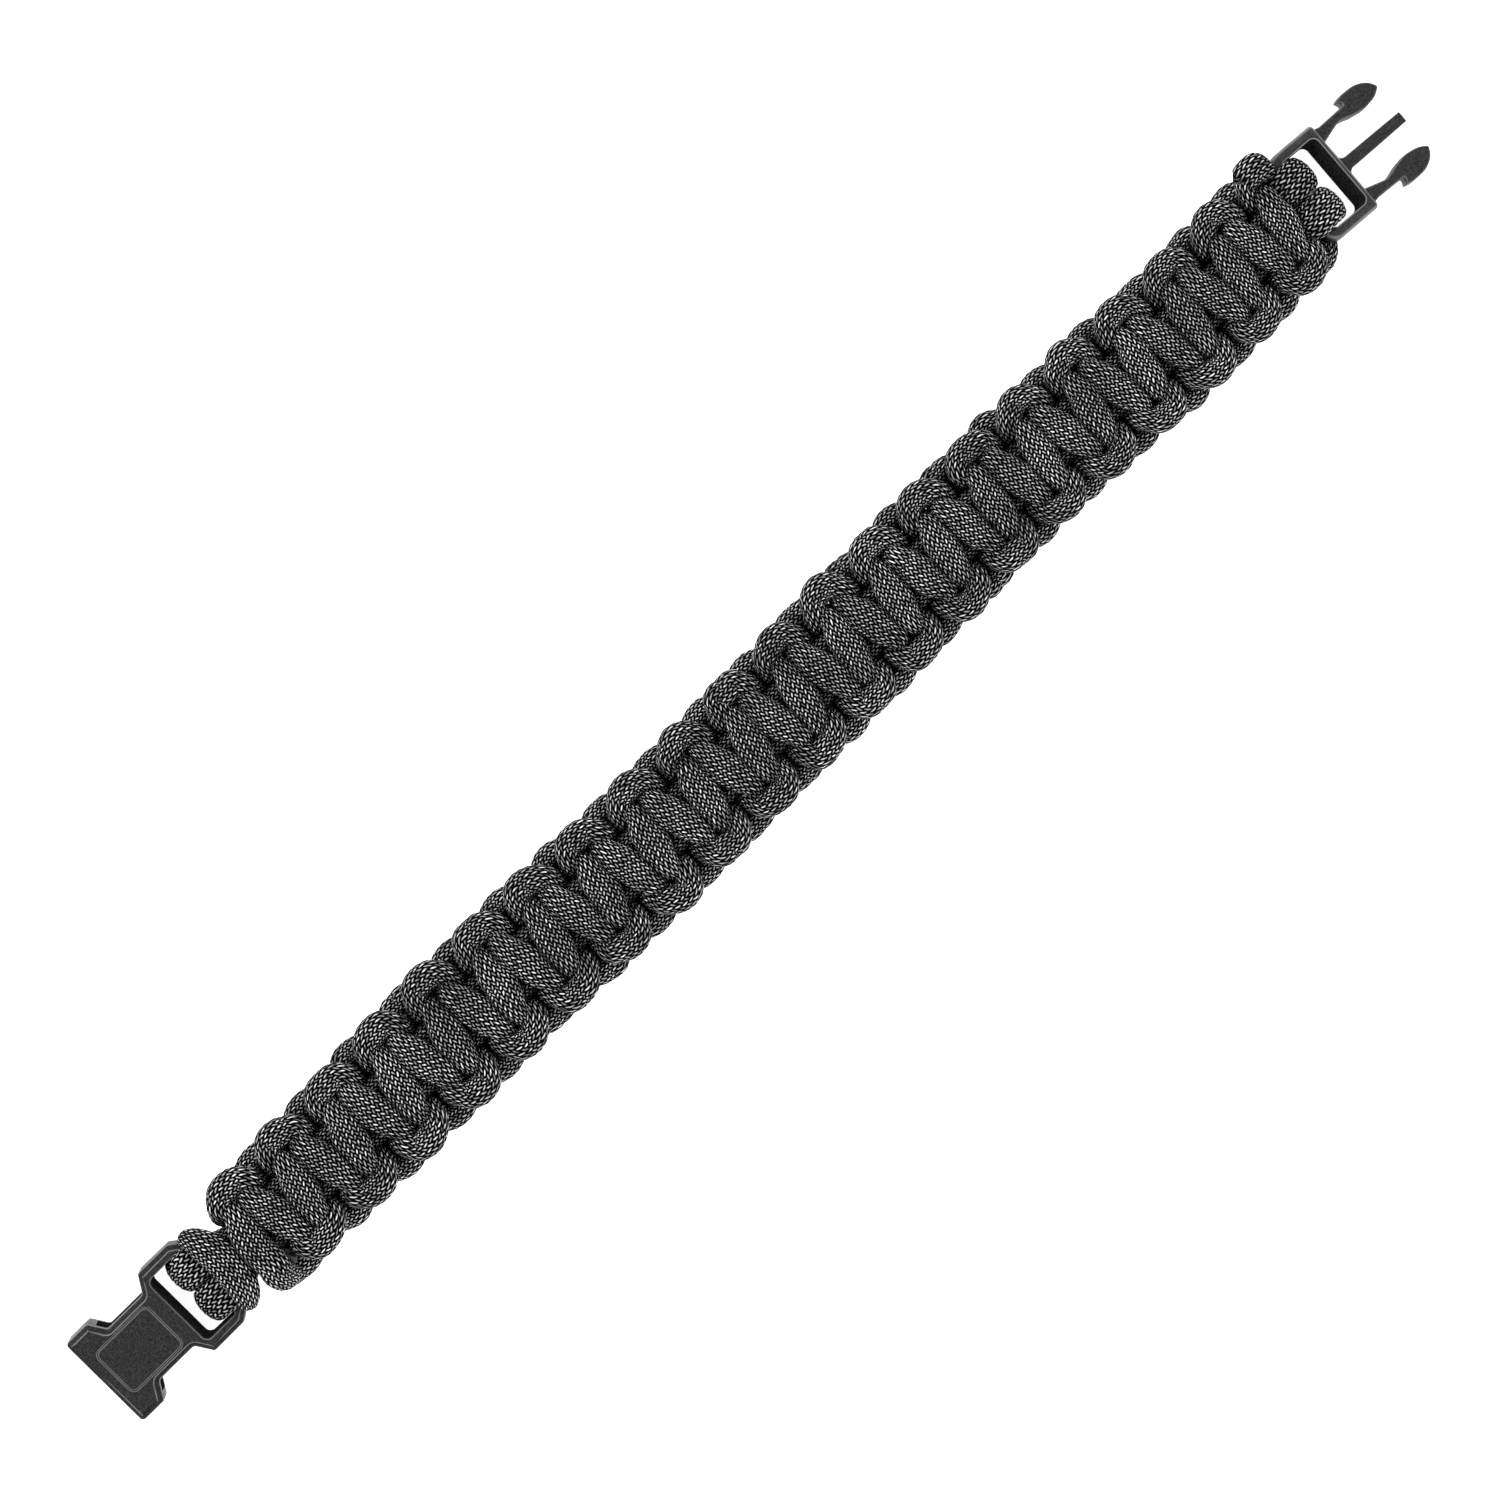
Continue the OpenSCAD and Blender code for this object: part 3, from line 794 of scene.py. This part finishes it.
def cut(obj, cutter):
    """Takes cutter out of obj and removes it."""
    mod = obj.modifiers.new("cut", "BOOLEAN")
    mod.operation, mod.solver, mod.object = "DIFFERENCE", "EXACT", cutter
    done = bpy.data.meshes.new_from_object(obj.evaluated_get(bpy.context.evaluated_depsgraph_get()))
    obj.modifiers.clear()
    obj.data = done
    bpy.data.objects.remove(cutter)


def turn(degrees, axis):
    return Matrix.Rotation(math.radians(degrees), 4, axis)


def socket_piece():
    """The socket: flared mouth, narrow waist, shoulders, a slot and a bar, and a panel on its face."""
    mould = Moulding()
    side = [(0, SOCKET_HALF, 0.6), (4.0, SOCKET_HALF, 0.5), (5.5, WAIST_HALF, 0.6), (11.9, WAIST_HALF, 0.6),
            (13.4, SOCKET_HALF, 0.5), (18.7, SOCKET_HALF, 0.8), (SOCKET_LEN, 5.9, 0.5)]
    half = SOCKET_T / 2
    # A ledge runs all round, 0.8 mm below the face
    layers = [(0.75, -half, 0), (0.4, -half + 0.25, 0.2), (0, -half + 0.95, 0), (0, half - 1.15, 0),
              (0.05, half - 0.95, 1.0), (0.12, half - 0.88, 0.2), (0.2, half - 0.86, 0),
              (0.6, half - 0.78, 0), (0.66, half - 0.7, 0), (0.7, half - 0.14, 0.2),
              (0.73, half - 0.06, 1.0), (0.8, half, 0.7), (0.87, half, 0)]
    slot = rounded_box(BODY_LEN, SOCKET_LEN - END_WALL, SLOT_HALF, 0.9, 0.3)
    slot_layers = [(0.15, -half, 0), (0, -half + 0.15, -1), (0, half - 0.3, -1), (0.05, half - 0.12, 0.8),
                   (0.12, half, 0.9), (0.19, half, 0)]
    panel = rounded([(PANEL_FROM, -PANEL_HALF, 1.0), (PANEL_TO, -PANEL_HALF, 1.0),
                     (PANEL_TO, PANEL_HALF, 1.0), (PANEL_FROM, PANEL_HALF, 1.0)])
    mould.slab(rounded(both_sides(side)), layers, slot, slot_layers, panel)
    mould.cut_along(np.arange(0.4, SOCKET_LEN, 0.8))

    # Thinner by 4.5% at the mouth and by 46% at the end with the bar
    def taper(x, y, z):
        mouth = 1 - 0.045 * max(0, 1 - x / 5.0) ** 2
        rear = 1 - 0.46 * max(0, (x - 13.2) / 7.3) ** 1.6
        return x, y, z * mouth * rear

    mould.bend(taper)
    mould.bar(SOCKET_BAR_AT)
    place = (Matrix.Translation((SOCKET_BAR[0], SOCKET_Y, SOCKET_BAR[1]))
             @ turn(SOCKET_TILT, "Y") @ turn(SOCKET_ROLL, "X")
             @ Matrix.Translation((-SOCKET_BAR_AT, 0, 0)))
    obj = mould.build("socket_body", place)
    inside = SOCKET_HALF - MOUTH_WALL
    low, high = (-1, -inside, -CAVITY_T / 2), (BODY_LEN - BACK_WALL, inside, CAVITY_T / 2)
    cut(obj, box_cutter("cavity", low, high, place))
    return obj


def plug_piece():
    """The plug: a frame with a slot and a bar, two barbed prongs and the guide between them."""
    mould = Moulding()
    frame_loop = rounded(both_sides([(-BAR_R, PLUG_HALF, 2.0), (FRAME_LEN, PLUG_HALF, 0.6)]))
    half = FRAME_T / 2
    layers = [(0.4, -half, 0), (0.12, -half + 0.3, 0.2), (0, -half + 0.7, 0), (0, half - 0.9, 0.1),
              (0.07, half - 0.5, 0.5), (0.2, half - 0.22, 0.8), (0.36, half - 0.06, 0.5), (0.46, half, 0.1)]
    rim = FRAME_LEN - CROSSBAR
    slot_layers = [(0.12, -half, 0), (0, -half + 0.12, -1), (0, half - 0.25, -1), (0.04, half - 0.03, 1.0),
                   (0.12, half, 1.0), (0.2, half, 0)]
    mould.slab(frame_loop, layers, rounded_box(FRAME_SLOT_FROM, rim, SLOT_HALF, 0.3, 0.9), slot_layers)
    mould.cut_along(np.arange(-0.8, FRAME_LEN - 1.8, 0.6))

    # Thinner by 48% at the bar, with a draft on the crossbar's wall in the slot
    def taper(x, y, z):
        rear = 1 - 0.48 * max(0, (4.4 - x) / 5.4) ** 1.7
        wall = rim - 1.0 < x < rim + 0.3 and abs(y) < SLOT_HALF + 0.2
        return x - (CROSSBAR_DRAFT * (0.5 - z / FRAME_T) if wall else 0), y, z * rear

    mould.bend(taper)
    mould.bar(0)
    top = PRONG_T / 2
    prong_layers = [(0.3, -top, 0), (0.1, -top + 0.12, 0.2), (0, -top + 0.4, 0), (0, top - 0.3, 0),
                    (0.07, top - 0.08, 0.6), (0.2, top, 0.2), (0.26, top, 0)]
    outline = [(FRAME_LEN + x * PRONG_LEN, y * SOCKET_HALF, r * PRONG_LEN) for x, y, r in PRONG]
    for mirror in (1, -1):
        mould.slab(rounded([(x, mirror * y, r) for x, y, r in outline][::mirror]), prong_layers)
    guide = both_sides([(FRAME_LEN - 0.4, GUIDE_ROOT_HALF, 0), (FRAME_LEN, GUIDE_ROOT_HALF, 0.05),
                        (FRAME_LEN + 0.12, GUIDE_HALF, 0.9),
                        (FRAME_LEN + 0.98 * PRONG_LEN, GUIDE_TIP_HALF, 0.1)])
    top = GUIDE_T / 2
    guide_layers = [(0.12, -top, 0), (0, -top + 0.12, 0.1), (0, top - 0.12, 0.3), (0.1, top, 0.5),
                    (0.16, top, 0)]
    mould.slab(rounded(guide), guide_layers)
    place = (Matrix.Translation((PLUG_BAR[0], 0, PLUG_BAR[1])) @ turn(PLUG_YAW, "Z") @ turn(PLUG_TILT, "Y"))
    return mould.build("plug_body", place)


# Pieces
def dress(obj, material, node):
    """Gives a visible piece its material, hides the CAD node it stands for and hangs it on the root body."""
    obj.data.materials.clear()
    obj.data.materials.append(material)
    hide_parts(node)
    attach(obj, "root")


def add_strand(name, points, slant, tree, pieces, material, node):
    """A cord in one or more pieces of the same length, which stand for one CAD node."""
    open_to_sky = openness(points, tree)
    cuts = np.linspace(0, len(points) - 1, pieces + 1).astype(int)
    for k in range(pieces):
        a, b = cuts[k], cuts[k + 1]
        label = name if pieces == 1 else "%s_%s" % (name, "abcd"[k])
        obj = tube_mesh(label, points[a:b + 1], slant[a:b + 1], open_to_sky[a:b + 1], a / RINGS)
        dress(obj, material, node)
    print(name, "length mm", round(len(points) * ROW / RINGS), "triangles", (len(points) - 1) * VERTS * 2)


def add_melted_end(name, points, material):
    """A lumpy sealed end on the first ring of a strand."""
    centre = points[0].mean(axis=0)
    back = unit(centre - points[4].mean(axis=0))
    radius = np.linalg.norm(points[0] - centre, axis=1).mean()
    mesh = bpy.data.meshes.new(name)
    bm = bmesh.new()
    bmesh.ops.create_icosphere(bm, subdivisions=4, radius=radius * 1.02)
    turned_back = Vector((0, 0, 1)).rotation_difference(Vector(back)).to_matrix()
    for vert in bm.verts:
        p = Vector(vert.co)
        lump = 0.1 * math.sin(p.x * 3.1 + 1) * math.sin(p.y * 2.7) + 0.06 * math.sin(p.z * 6 + p.x * 4)
        p = p * (1 + lump)
        p.z *= 0.5
        spot = turned_back @ p + Vector(centre)
        spot.z = max(spot.z, FLOOR_GAP)
        vert.co = spot * MM
    bm.to_mesh(mesh)
    bm.free()
    mesh.polygons.foreach_set("use_smooth", np.ones(len(mesh.polygons), bool))
    mesh.materials.append(material)
    obj = add_object(name, mesh)
    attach(obj, "root")


def add_cords(buckle):
    """The three cords, with shade painted into their colour where they lie close to each other or to the
    buckle.
    """
    cord = cord_material()
    melted = melted_material()
    rng = np.random.default_rng(SEED)
    front, front_slant = tube(strand_rows(rng, FRONT_START_ROWS, FIRST_QUARTER) + front_tail(), rng)
    back, back_slant = tube(turned(strand_rows(rng, BACK_START_ROWS, QUARTER)) + back_tail(), rng)
    core, core_slant = tube(core_rows(), rng)
    tree = tree_of((front, back, core), buckle)
    add_strand("front_sheath", front, front_slant, tree, 2, cord, "front_strand")
    add_melted_end("front_end", front, melted)
    add_strand("back_sheath", back, back_slant, tree, 2, cord, "back_strand")
    add_melted_end("back_end", back, melted)
    add_strand("core_sheath", core, core_slant, tree, 1, cord, "core_cord")


def add_buckle():
    plastic = plastic_material()
    pieces = socket_piece(), plug_piece()
    for piece, node in zip(pieces, ("buckle_socket", "buckle_plug")):
        dress(piece, plastic, node)
    return pieces


# Studio
def add_camera():
    data = bpy.data.cameras.new("camera")
    data.sensor_width = SENSOR_WIDTH
    data.lens = SENSOR_WIDTH * CAMERA_HEIGHT / FRAME_WIDTH
    data.clip_start, data.clip_end = 0.01, 10
    camera = add_object("camera", data)
    angle = math.radians(-STRAP_ANGLE)
    right = np.array([math.cos(angle), math.sin(angle)])
    up = np.array([-math.sin(angle), math.cos(angle)])
    x, y = FRAME_SHIFT[0] * right + FRAME_SHIFT[1] * up
    camera.location = (x * MM, y * MM, (CAMERA_HEIGHT + MID_Z) * MM)
    camera.rotation_euler = (0, 0, angle)
    bpy.context.scene.camera = camera


def add_area(name, place, size, power):
    """A round, soft lamp that points at the origin; place and size are in metres, power in watts."""
    data = bpy.data.lights.new(name, "AREA")
    data.shape, data.size, data.energy = "DISK", size, power
    lamp = add_object(name, data)
    lamp.location = place
    lamp.rotation_euler = (-Vector(place)).to_track_quat("-Z", "Y").to_euler()


def add_world():
    """White walls all round and a darker ceiling, so that level faces stay dark and edges shine."""
    world = bpy.data.worlds.new("studio")
    world.use_nodes = True
    tree = world.node_tree
    split = tree.nodes.new("ShaderNodeSeparateXYZ")
    tree.links.new(tree.nodes.new("ShaderNodeTexCoord").outputs["Generated"], split.inputs[0])
    height = tree.nodes.new("ShaderNodeMapRange")
    height.interpolation_type = "SMOOTHSTEP"
    tree.links.new(split.outputs[2], height.inputs[0])
    for slot, value in enumerate((WALL_TOP, CEILING_FROM, WALL_LIGHT, CEILING_LIGHT)):
        height.inputs[slot + 1].default_value = value
    tree.nodes["Background"].inputs[0].default_value = (1, 1, 1, 1)
    tree.links.new(height.outputs[0], tree.nodes["Background"].inputs[1])
    bpy.context.scene.world = world


def add_studio():
    """A floor 6 m wide, the walls' light and two lamps."""
    mesh = bpy.data.meshes.new("floor")
    mesh.from_pydata([(-3, -3, 0), (3, -3, 0), (3, 3, 0), (-3, 3, 0)], [], [(0, 1, 2, 3)])
    mesh.materials.append(floor_material())
    floor = add_object("floor", mesh)
    add_world()
    add_area("key", (-0.45, 0.85, 1.0), 0.8, 9)
    add_area("fill", (0.8, -0.6, 0.9), 0.9, 4)
    bpy.context.scene.view_settings.view_transform = "Standard"


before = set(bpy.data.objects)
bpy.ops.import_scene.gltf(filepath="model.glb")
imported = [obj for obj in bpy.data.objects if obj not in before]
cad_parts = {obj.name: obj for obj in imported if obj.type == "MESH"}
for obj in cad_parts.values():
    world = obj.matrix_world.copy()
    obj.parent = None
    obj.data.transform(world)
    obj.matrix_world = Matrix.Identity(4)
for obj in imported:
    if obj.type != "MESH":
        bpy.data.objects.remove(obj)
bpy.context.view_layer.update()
add_camera()
add_studio()
add_cords(add_buckle())
